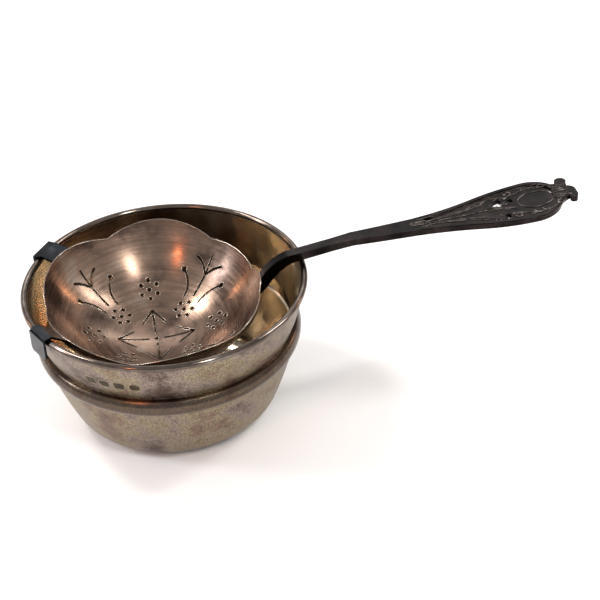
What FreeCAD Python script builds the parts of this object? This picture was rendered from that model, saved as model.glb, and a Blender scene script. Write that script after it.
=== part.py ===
import FreeCAD, Part
import math
import os
import Sketcher

# Silver tea strainer resting on its drip bowl.
# Frame: origin at the centre of the drip bowl's base, +Z up, +X along the strainer's handle.
# Every object reads its sizes, in millimetres and degrees, from the sheet called dims.

DIMENSIONS = [
    # drip bowl
    ("bowl_height", 35.5, "table to the centre of the rim wire"),
    ("rim_radius", 34.2, "bowl axis to the centre of the rim wire"),
    ("wire_radius", 0.8, "rim wire"),
    ("cup_wall", 0.8, "sheet of the lower cup"),
    ("collar_wall", 0.7, "sheet of the collar"),
    ("base_inset", 15.2, "flat of the base, in from the rim wire"),
    ("base_curve", 8.0, "outside radius of the turn from base to side"),
    ("side_lean", 69.0, "where the turn ends, degrees from the flat"),
    ("side_curve", 120.0, "slow outward bow of the cup's side"),
    ("neck_inset", 2.9, "cup just under the shoulder, in from the rim wire"),
    ("neck_height", 19.3, "same place, above the table"),
    ("shoulder_curve", 2.7, "rolled shoulder, outside"),
    ("lip_height", 23.7, "top edge of the cup"),
    ("waist_inset", 3.1, "where the collar slips into the cup's lip, in from the rim wire"),
    ("waist_height", 24.3, "bottom of the collar's bowed side"),
    ("collar_foot", 21.2, "bottom edge of the collar, inside the shoulder"),
    ("collar_inset", 0.1, "collar under the wire, in from the rim wire"),
    ("collar_bow", 38.0, "slow outward bow of the collar's side"),
    # strainer bowl
    ("strainer_room", 6.2, "rim wire to the scalloped edge, all round when centred"),
    ("strainer_depth", 16.9, "edge to the inside of the bottom"),
    ("strainer_wall", 0.7, "sheet of the strainer bowl"),
    ("bottom_curve", 36.0, "inside radius of the bottom"),
    ("bottom_turn", 19.5, "where the bottom arc ends, degrees from the axis"),
    ("strainer_setback", 3.0, "strainer axis from the bowl axis, away from the handle"),
    ("strainer_drop", 0.5, "edge below the centre of the rim wire"),
    ("strainer_roll", 4.3, "loose seat: the front side hangs lower"),
    ("strainer_pitch", 1.3, "loose seat: the handle side hangs lower"),
    # scalloped edge: notches either side of the handle's line, in degrees round from it
    ("tongue_angle", 10.5, "half of the small lobe at the handle"),
    ("side_notch_angle", 47.0, "between the side lobe and the big lobe"),
    ("big_notch_angle", 108.5, "between the big lobe and the lug lobe"),
    ("notch_rise", 1.2, "bottom of a notch, in from the widest reach"),
    ("side_lobe_drop", 0.9, "crown of a side lobe, in from the widest reach"),
    ("tongue_drop", 0.5, "crown of the small lobe, in from the widest reach"),
    # pierced pattern, four times round the bowl, radii from the bowl's axis
    ("pattern_turn", -2.0, "first arrow, degrees round from the handle"),
    ("saw_width", 0.45, "slot left by the piercing saw"),
    ("centre_hole", 0.5, "radius of the hole on the axis"),
    ("drill_radius", 0.5, "berry holes"),
    ("bulb_radius", 0.6, "hole at the end of a curl"),
    ("arrow_start", 1.8, "inner end of an arrow's shaft"),
    ("arrow_tip", 9.6, "point of an arrow"),
    ("barb_foot", 5.3, "inner end of a barb"),
    ("barb_spread", 3.0, "barb's inner end, sideways from the shaft"),
    ("berry_radius", 15.2, "middle of a bunch in line with an arrow"),
    ("berry_ring", 2.3, "bunch: middle hole to the six round it"),
    ("seed_radius", 11.2, "middle of a bunch between the arrows"),
    ("seed_ring", 2.1, "bunch: middle hole to the six round it"),
    ("sprig_start", 15.2, "foot of a sprig between the arrows"),
    ("sprig_fork", 20.2, "where a sprig's side stems leave it"),
    ("sprig_tip", 24.0, "end of the middle stem"),
    ("twig_tip", 22.65, "end of a side stem, along the sprig"),
    ("twig_spread", 4.0, "end of a side stem, sideways"),
    ("twig_curve", 5.5, "bend of a side stem"),
    ("curl_start", 14.0, "foot of a curl, along the sprig"),
    ("curl_foot_spread", 2.2, "foot of a curl, sideways"),
    ("curl_tip", 19.3, "bulb of a curl, along the sprig"),
    ("curl_spread", 5.9, "bulb of a curl, sideways"),
    ("curl_curve", 5.6, "bend of a curl"),
    # handle, reaches are outward from the rim wire
    ("seat_gap", 0.15, "air left between the strainer's rests and the wire"),
    ("stem_thickness", 1.8, "stem where it passes the rim"),
    ("leaf_thickness", 1.4, "plate of the leaf-shaped end"),
    ("root_reach", 1.5, "handle's root, in from the bowl's widest reach"),
    ("root_drop", 3.8, "handle's root, below the bowl's edge"),
    ("root_tail", 2.5, "root carried in under the lobe, for the solder"),
    ("root_tail_drop", 3.0, "end of the root, further below"),
    ("root_under", 4.3, "underside of the root's end, below its top"),
    ("root_bevel", 0.4, "root's end face leans in by this"),
    ("crank_foot_reach", 2.6, "underside of the crank, out from the root"),
    ("crank_foot_drop", 0.8, "same place, below the root"),
    ("rest_shift", 1.1, "underside's bend at the rim, out from the crease"),
    ("rest_sink", 0.35, "same place, below the top of the wire's air gap"),
    ("crank_curve", 12.6, "top of the crank from the root up to the rim"),
    ("crank_under", 14.0, "underside of the crank near the root"),
    ("crank_rest", 16.0, "underside of the crank near the rim"),
    ("crease_inset", 3.7, "crease on top, in from the rim wire"),
    ("stem_rise", 2.2, "stem's climb from the rim to the start of the long sweep"),
    ("sweep_reach", 12.8, "start of the long sweep"),
    ("sweep_curve", 620.0, "long upward sweep of the handle"),
    ("root_cover", 12.0, "plan outline of the handle starts this far in from the rim wire"),
    ("stem_shoulder", 8.0, "stem's full width is reached this far out from the rim wire"),
    ("root_half_width", 1.2, "stem at the bowl"),
    ("stem_half_width", 1.45, "stem just outside the rim"),
    ("stem_reach", 28.8, "end of the slender stem"),
    ("stem_end_half_width", 2.7, "same place"),
    ("flank_reach", 45.8, "flank of the leaf"),
    ("flank_half_width", 6.0, "same place"),
    ("crown_reach", 58.1, "widest place of the leaf"),
    ("crown_half_width", 7.9, "same place"),
    ("finial_reach", 65.8, "where the leaf closes and the scroll starts"),
    ("finial_half_width", 3.7, "same place"),
    ("tip_reach", 70.4, "outer end of the handle"),
    ("tip_rise", 8.6, "top of the handle's end above the centre of the rim wire"),
    ("flank_hollow", 87.0, "hollow curve from the stem to the flank"),
    ("flank_bow", 55.0, "bowed curve from the flank to the crown"),
    ("crown_curve", 8.2, "round end of the leaf"),
    ("hook_throat", 4.5, "hollow between the leaf and the hook"),
    ("ball_radius", 0.85, "ball at the hook's end"),
    ("hook_curve", 3.6, "back of the hook"),
    ("hook_shoulder", 2.4, "hook into the knob's foot"),
    ("knob_radius", 1.5, "round knob beside the hook"),
    ("knob_foot", 1.65, "outer quarter of the knob"),
    ("hook_inner_in", 1.7, "hook's hollow side, in from the handle's end"),
    ("hook_inner_side", 1.7, "same place, sideways"),
    ("ball_in", 1.9, "ball's inner side, in from the handle's end"),
    ("ball_side", 2.9, "same place, sideways"),
    ("ball_outer_in", 0.4, "ball's outer side, in from the handle's end"),
    ("ball_outer_side", 3.1, "same place, sideways"),
    ("hook_top_side", 0.4, "handle's very end, sideways from its middle"),
    ("hook_back_in", 1.5, "hook's back, in from the handle's end"),
    ("hook_back_side", 2.3, "same place, sideways"),
    ("knob_outer_reach", 3.2, "knob's outer foot, out from the leaf's end"),
    ("knob_outer_side", 0.1, "same place, in from the leaf's half width there"),
    ("knob_top_reach", 2.2, "knob's crown, out from the leaf's end"),
    ("knob_top_side", 2.6, "same place, past the leaf's half width there"),
    ("knob_inner_reach", 0.8, "knob's inner foot, out from the leaf's end"),
    ("knob_inner_side", 0.6, "same place, past the leaf's half width there"),
    ("border", 1.0, "raised border round the leaf"),
    ("field_depth", 0.35, "sunk field inside the border"),
    ("field_start", 31.5, "narrow end of the sunk field"),
    ("bean_reach", 49.9, "opening nearest the stem"),
    ("bean_offset", 1.9, "same opening, sideways"),
    ("bean_length", 2.9, "same opening"),
    ("bean_width", 2.9, "same opening"),
    ("wedge_reach", 53.4, "opening beside the cartouche"),
    ("wedge_offset", 1.8, "same opening, sideways"),
    ("wedge_length", 2.0, "same opening"),
    ("wedge_width", 1.8, "same opening"),
    ("petal_reach", 51.2, "opening on the other side"),
    ("petal_offset", 4.5, "same opening, sideways"),
    ("petal_length", 1.9, "same opening"),
    ("petal_width", 2.0, "same opening"),
    ("trim_margin", 6.0, "how far a cutting outline runs past the metal"),
    # lugs
    ("lug_wall", 0.6, "sheet of the lugs"),
    ("lug_width", 6.6, "width of a lug"),
    ("lug_flap", 5.4, "flap outside the bowl, from the top of the wire down"),
    ("lug_corner", 1.2, "rounded corners of the flap"),
    ("clear_cut", 1.0, "how far a rounding cut runs past the metal"),
    ("opening_bow", 1.6, "radius of an opening's long sides, against its length"),
    ("wall_overrun", 8.0, "degrees the bowl's wall is drawn past its edge, before trimming"),
    ("lug_lap", 0.6, "lug laid under the bowl's edge, for the solder"),
    ("lug_sink", 1.2, "same place, below the edge"),
    ("back_lug_angle", 142.7, "round from the handle, about the bowl axis"),
    ("front_lug_angle", -155.0, "round from the handle, about the bowl axis"),
]

REST_HEIGHT = "(dims.bowl_height + dims.wire_radius + dims.seat_gap)"
BASE_RADIUS = "(dims.rim_radius - dims.base_inset)"
NECK_RADIUS = "(dims.rim_radius - dims.neck_inset)"
WAIST_RADIUS = "(dims.rim_radius - dims.waist_inset)"
COLLAR_RADIUS = "(dims.rim_radius - dims.collar_inset)"
STRAINER_RADIUS = "(dims.rim_radius - dims.wire_radius - dims.strainer_room)"
NOTCH_RADIUS = "(%s - dims.notch_rise)" % STRAINER_RADIUS


def makeSheet(doc):
    sheet = doc.addObject("Spreadsheet::Sheet", "dims")
    for row, (alias, value, note) in enumerate(DIMENSIONS, start=1):
        sheet.set("A%d" % row, note)
        sheet.set("B%d" % row, str(value))
        sheet.setAlias("B%d" % row, alias)
    doc.recompute()
    return sheet


def valueOf(sketch, expression):
    return float(sketch.evalExpression(expression))


def newSketch(body, name, plane):
    sketch = body.newObject("Sketcher::SketchObject", name)
    support = [f for f in body.Origin.OriginFeatures if f.Role == plane][0]
    sketch.AttachmentSupport = [(support, "")]
    sketch.MapMode = "FlatFace"
    return sketch


def bindPlace(sketch, geometry, end, axis, expression):
    # one coordinate of a point, on its axis or at a distance that follows the sheet
    value = valueOf(sketch, expression)
    if abs(value) < 1e-9:
        onAxis = -2 if axis == "X" else -1
        sketch.addConstraint(Sketcher.Constraint("PointOnObject", geometry, end, onAxis))
        return
    index = sketch.addConstraint(
        Sketcher.Constraint("Distance" + axis, -1, 1, geometry, end, value))
    sketch.setExpression("Constraints[%d]" % index, expression)


def arcBetween(start, end, radius, side):
    # minor arc from start to end; side +1 bulges to the left of the way travelled
    chord = end.sub(start)
    half = chord.Length / 2
    middle = (start + end) * 0.5
    left = FreeCAD.Vector(-chord.y, chord.x, 0).normalize()
    centre = middle - left * (side * math.sqrt(radius * radius - half * half))
    crown = centre + left * (side * radius)
    return Part.Arc(start, crown, end)


def drawLoop(sketch, corners, arcs):
    # corners: (x, y) expressions in order; arcs: {corner number: (radius expression, side)}
    points = [FreeCAD.Vector(valueOf(sketch, x), valueOf(sketch, y), 0) for x, y in corners]
    ends = []
    for number, start in enumerate(points):
        finish = points[(number + 1) % len(points)]
        if number in arcs:
            radius, side = arcs[number]
            edge = sketch.addGeometry(arcBetween(start, finish, valueOf(sketch, radius), side))
            ends.append((edge, 2, 1) if side > 0 else (edge, 1, 2))
        else:
            edge = sketch.addGeometry(Part.LineSegment(start, finish))
            ends.append((edge, 1, 2))
    for number, (edge, first, last) in enumerate(ends):
        nextEdge, nextFirst, nextLast = ends[(number + 1) % len(ends)]
        sketch.addConstraint(Sketcher.Constraint("Coincident", edge, last, nextEdge, nextFirst))
        bindPlace(sketch, edge, first, "X", corners[number][0])
        bindPlace(sketch, edge, first, "Y", corners[number][1])
    for number, (radius, side) in arcs.items():
        index = sketch.addConstraint(
            Sketcher.Constraint("Radius", ends[number][0], valueOf(sketch, radius)))
        sketch.setExpression("Constraints[%d]" % index, radius)


def drawCircle(sketch, x, y, radius):
    centre = FreeCAD.Vector(valueOf(sketch, x), valueOf(sketch, y), 0)
    up = FreeCAD.Vector(0, 0, 1)
    circle = sketch.addGeometry(Part.Circle(centre, up, valueOf(sketch, radius)))
    bindPlace(sketch, circle, 3, "X", x)
    bindPlace(sketch, circle, 3, "Y", y)
    index = sketch.addConstraint(
        Sketcher.Constraint("Radius", circle, valueOf(sketch, radius)))
    sketch.setExpression("Constraints[%d]" % index, radius)


def spin(body, sketch, kind="Revolution"):
    # full turn about the sketch's upright axis
    feature = body.newObject("PartDesign::" + kind, body.Name + "_" + kind.lower())
    feature.Profile = sketch
    feature.ReferenceAxis = (sketch, ["V_Axis"])
    feature.Angle = 360
    return feature


def pad(body, sketch, widthExpression):
    feature = body.newObject("PartDesign::Pad", body.Name + "_pad")
    feature.Profile = sketch
    feature.SideType = "Symmetric"
    feature.setExpression("Length", widthExpression)
    return feature


def pocketThrough(body, sketch, name):
    feature = body.newObject("PartDesign::Pocket", name)
    feature.Profile = sketch
    feature.SideType = "Symmetric"
    feature.Type = "ThroughAll"
    return feature


def mirrorY(corners):
    return [(x, "-(%s)" % y) for x, y in corners]


def makeCup(doc):
    # lower cup: flat base, turned corner, leaning side, rolled shoulder and a lip for the collar
    body = doc.addObject("PartDesign::Body", "drip_bowl_cup")
    sketch = newSketch(body, "cup_section", "XZ_Plane")
    lean = "dims.side_lean * 1 deg"
    inner = "(dims.base_curve - dims.cup_wall)"
    corners = [
        ("0", "0"),
        (BASE_RADIUS, "0"),
        (BASE_RADIUS + " + dims.base_curve * sin(%s)" % lean,
         "dims.base_curve * (1 - cos(%s))" % lean),
        (NECK_RADIUS, "dims.neck_height"),
        (WAIST_RADIUS + " + dims.cup_wall", "dims.lip_height"),
        (WAIST_RADIUS, "dims.lip_height"),
        (WAIST_RADIUS, "dims.lip_height - dims.cup_wall"),
        (NECK_RADIUS + " - dims.cup_wall", "dims.neck_height + dims.cup_wall / 3"),
        (BASE_RADIUS + " + %s * sin(%s)" % (inner, lean),
         "dims.base_curve - %s * cos(%s)" % (inner, lean)),
        (BASE_RADIUS, "dims.cup_wall"),
        ("0", "dims.cup_wall"),
    ]
    arcs = {
        1: ("dims.base_curve", -1),
        2: ("dims.side_curve", -1),
        3: ("dims.shoulder_curve", -1),
        6: ("dims.shoulder_curve - dims.cup_wall / 2", 1),
        7: ("dims.side_curve - dims.cup_wall", 1),
        8: (inner, 1),
    }
    drawLoop(sketch, corners, arcs)
    spin(body, sketch)
    return body


def makeCollar(doc):
    # upper band: bowed side under the wire, straight foot inside the cup's lip
    body = doc.addObject("PartDesign::Body", "drip_bowl_collar")
    sketch = newSketch(body, "collar_section", "XZ_Plane")
    top = "dims.bowl_height - dims.wire_radius / 2"
    corners = [
        (WAIST_RADIUS, "dims.collar_foot"),
        (WAIST_RADIUS, "dims.waist_height"),
        (COLLAR_RADIUS, top),
        (COLLAR_RADIUS + " - dims.collar_wall", top),
        (WAIST_RADIUS + " - dims.collar_wall", "dims.waist_height"),
        (WAIST_RADIUS + " - dims.collar_wall", "dims.collar_foot"),
    ]
    arcs = {
        1: ("dims.collar_bow", -1),
        3: ("dims.collar_bow - dims.collar_wall", 1),
    }
    drawLoop(sketch, corners, arcs)
    spin(body, sketch)
    seat = newSketch(body, "wire_seat", "XZ_Plane")
    drawCircle(seat, "dims.rim_radius", "dims.bowl_height", "dims.wire_radius")
    spin(body, seat, "Groove")
    return body


def makeRimWire(doc):
    wire = doc.addObject("Part::Torus", "rim_wire")
    wire.setExpression("Radius1", "dims.rim_radius")
    wire.setExpression("Radius2", "dims.wire_radius")
    wire.setExpression("Placement.Base.z", "dims.bowl_height")
    return wire


def bowlOutline(thickness):
    # inside of the bowl pushed out by a thickness: shallow bottom arc, then a tighter arc that
    # leaves it smoothly and reaches the edge at the widest radius and the full depth
    turn = "dims.bottom_turn * 1 deg"
    across = "(%s - dims.bottom_curve * sin(%s))" % (STRAINER_RADIUS, turn)
    up = "(dims.strainer_depth - dims.bottom_curve * (1 - cos(%s)))" % turn
    wall = "((%s * %s + %s * %s) / (2 * (%s * cos(%s) - %s * sin(%s))))" % (
        across, across, up, up, up, turn, across, turn)
    bottom = "(dims.bottom_curve + %s)" % thickness
    centre = "(dims.bottom_curve - dims.strainer_depth)"
    wallX = "((dims.bottom_curve - %s) * sin(%s))" % (wall, turn)
    wallZ = "(%s - (dims.bottom_curve - %s) * cos(%s))" % (centre, wall, turn)
    reach = "(%s + %s)" % (wall, thickness)
    past = "(asin((%s - %s) / %s) + dims.wall_overrun * 1 deg)" % (STRAINER_RADIUS, wallX, wall)
    return {
        "bottom": ("0", "%s - %s" % (centre, bottom)),
        "join": ("%s * sin(%s)" % (bottom, turn), "%s - %s * cos(%s)" % (centre, bottom, turn)),
        "top": ("%s + %s * sin(%s)" % (wallX, reach, past),
                "%s - %s * cos(%s)" % (wallZ, reach, past)),
        "bottomRadius": bottom,
        "wallRadius": reach,
    }


def seatOnRim(strainerPiece):
    # the strainer's own level frame, dropped onto the rim and tipped as it hangs there
    strainerPiece.setExpression("Placement.Base.x", "-dims.strainer_setback")
    strainerPiece.setExpression("Placement.Base.z", "dims.bowl_height - dims.strainer_drop")
    roll = valueOf(strainerPiece, "dims.strainer_roll")
    pitch = valueOf(strainerPiece, "dims.strainer_pitch")
    tip = FreeCAD.Rotation(0, pitch, roll)
    place = strainerPiece.Placement
    place.Rotation = tip
    strainerPiece.Placement = place


def makeStrainerBowl(doc):
    body = doc.addObject("PartDesign::Body", "strainer_bowl")
    section = newSketch(body, "bowl_section", "XZ_Plane")
    outer = bowlOutline("dims.strainer_wall")
    inside = bowlOutline("0")
    corners = [outer["bottom"], outer["join"], outer["top"],
               inside["top"], inside["join"], inside["bottom"]]
    arcs = {
        0: (outer["bottomRadius"], -1),
        1: (outer["wallRadius"], -1),
        3: (inside["wallRadius"], 1),
        4: (inside["bottomRadius"], 1),
    }
    drawLoop(section, corners, arcs)
    spin(body, section)
    trim = newSketch(body, "scalloped_edge", "XY_Plane")
    drawScallops(trim)
    drawCircle(trim, "0", "0", STRAINER_RADIUS + " + dims.trim_margin")
    pocketThrough(body, trim, "edge_trim")
    pierceBowl(body)
    seatOnRim(body)
    return body


def turnedSketch(body, name, turn):
    # a plan sketch whose x runs outward in the given direction from the bowl's axis
    sketch = newSketch(body, name, "XY_Plane")
    sketch.AttachmentOffset = FreeCAD.Placement(
        FreeCAD.Vector(0, 0, 0),
        FreeCAD.Rotation(FreeCAD.Vector(0, 0, 1), valueOf(sketch, turn)))
    sketch.setExpression("AttachmentOffset.Rotation.Angle", "(%s) * 1 deg" % turn)
    return sketch


def drawSlot(sketch, start, finish, bend=None):
    # saw slot between two points, straight or with a (radius expression, side) bend
    x0, y0 = [valueOf(sketch, term) for term in start]
    x1, y1 = [valueOf(sketch, term) for term in finish]
    span = math.hypot(x1 - x0, y1 - y0)
    across = "dims.saw_width / 2 * %.6f" % ((y0 - y1) / span)
    along = "dims.saw_width / 2 * %.6f" % ((x1 - x0) / span)
    corners = [
        ("%s - %s" % (start[0], across), "%s - %s" % (start[1], along)),
        ("%s - %s" % (finish[0], across), "%s - %s" % (finish[1], along)),
        ("%s + %s" % (finish[0], across), "%s + %s" % (finish[1], along)),
        ("%s + %s" % (start[0], across), "%s + %s" % (start[1], along)),
    ]
    arcs = {}
    if bend:
        radius, side = bend
        arcs = {0: (radius, side), 2: (radius, -side)}
    drawLoop(sketch, corners, arcs)


def drawDrilled(sketch, x, y, radius):
    # a small drilled hole, eight-sided because it repeats so often
    sides = 8
    corners = []
    for step in range(sides):
        angle = "%s deg" % (360 / sides * (step + 0.5))
        corners.append(("%s + %s * cos(%s)" % (x, radius, angle),
                        "%s + %s * sin(%s)" % (y, radius, angle)))
    drawLoop(sketch, corners, {})


def drawBunch(sketch, middle, ring):
    # one hole with six round it, like a berry cluster
    drawDrilled(sketch, middle, "0", "dims.drill_radius")
    for step in range(6):
        drawDrilled(sketch, "%s + %s * cos(%d deg)" % (middle, ring, step * 60),
                    "%s * sin(%d deg)" % (ring, step * 60), "dims.drill_radius")


def pierceBowl(body):
    # a quarter of the pattern: arrow and bunch in one direction, sprig and bunch between,
    # then four times round; strokes that meet are cut one after another
    arrowTurn = "dims.pattern_turn"
    sprigTurn = "dims.pattern_turn + 45"
    cuts = []
    arrow = turnedSketch(body, "arrow_shaft", arrowTurn)
    drawSlot(arrow, ("dims.arrow_start", "0"), ("dims.arrow_tip", "0"))
    drawBunch(arrow, "dims.berry_radius", "dims.berry_ring")
    cuts.append(pocketThrough(body, arrow, "arrow_cut"))
    sprig = turnedSketch(body, "sprig_stem", sprigTurn)
    drawSlot(sprig, ("dims.sprig_start", "0"), ("dims.sprig_tip", "0"))
    drawBunch(sprig, "dims.seed_radius", "dims.seed_ring")
    for sign in ("", "-"):
        drawDrilled(sprig, "dims.curl_tip", sign + "dims.curl_spread", "dims.bulb_radius")
    cuts.append(pocketThrough(body, sprig, "sprig_cut"))
    for name, sign, side in (("left", "", 1), ("right", "-", -1)):
        barb = turnedSketch(body, name + "_barb", arrowTurn)
        drawSlot(barb, ("dims.barb_foot", sign + "dims.barb_spread"), ("dims.arrow_tip", "0"))
        cuts.append(pocketThrough(body, barb, name + "_barb_cut"))
        twigs = turnedSketch(body, name + "_twigs", sprigTurn)
        drawSlot(twigs, ("dims.sprig_fork", "0"),
                 ("dims.twig_tip", sign + "dims.twig_spread"), ("dims.twig_curve", -side))
        drawSlot(twigs, ("dims.curl_start", sign + "dims.curl_foot_spread"),
                 ("dims.curl_tip", sign + "dims.curl_spread"), ("dims.curl_curve", -side))
        cuts.append(pocketThrough(body, twigs, name + "_twigs_cut"))
    around = body.newObject("PartDesign::PolarPattern", "four_quarters")
    around.Originals = cuts
    around.Axis = ([f for f in body.Origin.OriginFeatures if f.Role == "Z_Axis"][0], [""])
    around.Angle = 360
    around.Occurrences = 4
    body.Tip = around
    middle = newSketch(body, "middle_hole", "XY_Plane")
    drawDrilled(middle, "0", "0", "dims.centre_hole")
    pocketThrough(body, middle, "middle_cut")


def drawScallops(sketch):
    # seven lobes between notches, the same on both sides of the handle's line
    angles = ["dims.tongue_angle", "dims.side_notch_angle", "dims.big_notch_angle", "180"]
    angles = angles + ["-dims.big_notch_angle", "-dims.side_notch_angle", "-dims.tongue_angle"]
    corners = [(NOTCH_RADIUS + " * cos(%s * 1 deg)" % a,
                NOTCH_RADIUS + " * sin(%s * 1 deg)" % a) for a in angles]
    sideLobe = "(%s - dims.side_lobe_drop)" % STRAINER_RADIUS
    tongue = "(%s - dims.tongue_drop)" % STRAINER_RADIUS
    crowns = [sideLobe, STRAINER_RADIUS, STRAINER_RADIUS]
    crowns = crowns + crowns[::-1] + [tongue]
    arcs = {}
    for number, crown in enumerate(crowns):
        start = angles[number]
        end = angles[(number + 1) % len(angles)]
        if number == len(crowns) - 1:
            half = "dims.tongue_angle * 1 deg"
        elif number == 3:
            half = "(180 - dims.big_notch_angle) / 2 * 1 deg"
        else:
            half = "(%s - (%s)) / 2 * 1 deg" % (end, start)
        chordHalf = "(%s * sin(%s))" % (NOTCH_RADIUS, half)
        rise = "(%s - %s * cos(%s))" % (crown, NOTCH_RADIUS, half)
        arcs[number] = ("(%s * %s + %s * %s) / (2 * %s)" % (
            chordHalf, chordHalf, rise, rise, rise), -1)
    drawLoop(sketch, corners, arcs)


def makeBowlHollow(doc):
    # the room for the tea, as a solid: nothing soldered to the bowl may reach into it
    body = doc.addObject("PartDesign::Body", "bowl_hollow")
    section = newSketch(body, "hollow_section", "XZ_Plane")
    inside = bowlOutline("0")
    corners = [inside["bottom"], inside["join"], inside["top"], ("0", inside["top"][1])]
    arcs = {
        0: (inside["bottomRadius"], -1),
        1: (inside["wallRadius"], -1),
    }
    drawLoop(section, corners, arcs)
    spin(body, section)
    seatOnRim(body)
    return body


def fitToBowl(doc, piece, label, bowl, hollow):
    # files the piece's inner end to the bowl, so the two meet face to face
    cleared = doc.addObject("Part::Cut", label + "_cleared")
    cleared.Base = piece
    cleared.Tool = hollow
    fitted = doc.addObject("Part::Cut", label + "_fitted")
    fitted.Base = cleared
    fitted.Tool = bowl
    fitted.Label = label
    return fitted


def outFrom(reach):
    return "(dims.rim_radius + dims.%s)" % reach


def makeHandle(doc, bowl, hollow):
    blank = doc.addObject("PartDesign::Body", "handle_blank")
    side = newSketch(blank, "handle_side", "XZ_Plane")
    drawHandleSide(side)
    pad(blank, side, "(dims.crown_half_width + dims.trim_margin) * 2")
    plan = newSketch(blank, "handle_plan", "XY_Plane")
    drawHandlePlan(plan)
    drawSurround(plan)
    pocketThrough(blank, plan, "handle_trim")
    pierceLeaf(blank)
    field = makeLeafField(doc)
    bordered = doc.addObject("Part::Cut", "handle_bordered")
    bordered.Base = blank
    bordered.Tool = field
    return fitToBowl(doc, bordered, "handle", bowl, hollow)


def drawHandleSide(sketch):
    # root under the small lobe, crank up to the rim, crease, then the long sweep to the tip
    rest = REST_HEIGHT
    tipTop = "(dims.bowl_height + dims.tip_rise)"
    rootX = "(%s - dims.strainer_setback - dims.root_reach)" % STRAINER_RADIUS
    rootZ = "(dims.bowl_height - dims.strainer_drop - dims.root_drop)"
    creaseX = "(dims.rim_radius - dims.crease_inset)"
    sweepX = outFrom("sweep_reach")
    tipX = outFrom("tip_reach")
    corners = [
        (rootX + " - dims.root_tail", rootZ + " - dims.root_tail_drop"),
        (rootX, rootZ),
        (creaseX, rest + " + dims.stem_thickness"),
        (sweepX, rest + " + dims.stem_thickness + dims.stem_rise"),
        (tipX, tipTop),
        (tipX, tipTop + " - dims.leaf_thickness"),
        (sweepX, rest + " + dims.stem_rise"),
        (creaseX + " + dims.rest_shift", rest + " - dims.rest_sink"),
        (rootX + " + dims.crank_foot_reach", rootZ + " - dims.crank_foot_drop"),
        (rootX + " - dims.root_tail + dims.root_bevel", rootZ + " - dims.root_under"),
    ]
    arcs = {
        1: ("dims.crank_curve", 1),
        3: ("dims.sweep_curve", -1),
        5: ("dims.sweep_curve", 1),
        7: ("dims.crank_rest", -1),
        8: ("dims.crank_under", 1),
    }
    drawLoop(sketch, corners, arcs)


def drawHandlePlan(sketch):
    # slender stem, leaf, and a scroll with a round knob on one side and a hook on the other
    tipX = outFrom("tip_reach")
    finialX = outFrom("finial_reach")
    flank = [
        ("dims.rim_radius - dims.root_cover", "-dims.root_half_width"),
        ("dims.rim_radius + dims.stem_shoulder", "-dims.stem_half_width"),
        (outFrom("stem_reach"), "-dims.stem_end_half_width"),
        (outFrom("flank_reach"), "-dims.flank_half_width"),
        (outFrom("crown_reach"), "-dims.crown_half_width"),
        (finialX, "-dims.finial_half_width"),
    ]
    scroll = [
        (tipX + " - dims.hook_inner_in", "-dims.hook_inner_side"),
        (tipX + " - dims.ball_in", "-dims.ball_side"),
        (tipX + " - dims.ball_outer_in", "-dims.ball_outer_side"),
        (tipX, "-dims.hook_top_side"),
        (tipX + " - dims.hook_back_in", "dims.hook_back_side"),
        (finialX + " + dims.knob_outer_reach", "dims.finial_half_width - dims.knob_outer_side"),
        (finialX + " + dims.knob_top_reach", "dims.finial_half_width + dims.knob_top_side"),
        (finialX + " + dims.knob_inner_reach", "dims.finial_half_width + dims.knob_inner_side"),
    ]
    corners = flank + scroll + mirrorY(flank)[::-1]
    arcs = {
        2: ("dims.flank_hollow", 1),
        3: ("dims.flank_bow", -1),
        4: ("dims.crown_curve", -1),
        5: ("dims.hook_throat", 1),
        6: ("dims.ball_radius", -1),
        7: ("dims.ball_radius", -1),
        8: ("dims.hook_curve", -1),
        9: ("dims.hook_shoulder", -1),
        11: ("dims.knob_foot", -1),
        12: ("dims.knob_radius", -1),
        14: ("dims.crown_curve", -1),
        15: ("dims.flank_bow", -1),
        16: ("dims.flank_hollow", 1),
    }
    drawLoop(sketch, corners, arcs)


def makeLeafField(doc):
    # the room above the sunk field: a band that follows the handle's top, inside the border
    body = doc.addObject("PartDesign::Body", "leaf_field")
    side = newSketch(body, "field_side", "XZ_Plane")
    floorRise = " - dims.field_depth"
    sweepZ = REST_HEIGHT + " + dims.stem_thickness + dims.stem_rise"
    tipTop = "(dims.bowl_height + dims.tip_rise)"
    above = tipTop + " + dims.trim_margin"
    corners = [
        (outFrom("sweep_reach"), sweepZ + floorRise),
        (outFrom("tip_reach"), tipTop + floorRise),
        (outFrom("tip_reach"), above),
        (outFrom("sweep_reach"), above),
    ]
    drawLoop(side, corners, {0: ("dims.sweep_curve", -1)})
    pad(body, side, "(dims.crown_half_width + dims.trim_margin) * 2")
    plan = newSketch(body, "field_plan", "XY_Plane")
    flank = [
        ("dims.rim_radius + dims.field_start", "-(dims.stem_end_half_width - dims.border)"),
        (outFrom("flank_reach"), "-(dims.flank_half_width - dims.border)"),
        (outFrom("crown_reach"), "-(dims.crown_half_width - dims.border)"),
        (outFrom("finial_reach") + " - dims.border", "-(dims.finial_half_width - dims.border)"),
    ]
    arcs = {
        0: ("dims.flank_hollow + dims.border", 1),
        1: ("dims.flank_bow - dims.border", -1),
        2: ("dims.crown_curve - dims.border", -1),
        4: ("dims.crown_curve - dims.border", -1),
        5: ("dims.flank_bow - dims.border", -1),
        6: ("dims.flank_hollow + dims.border", 1),
    }
    drawLoop(plan, flank + mirrorY(flank)[::-1], arcs)
    drawSurround(plan)
    pocketThrough(body, plan, "field_trim")
    return body


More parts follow.
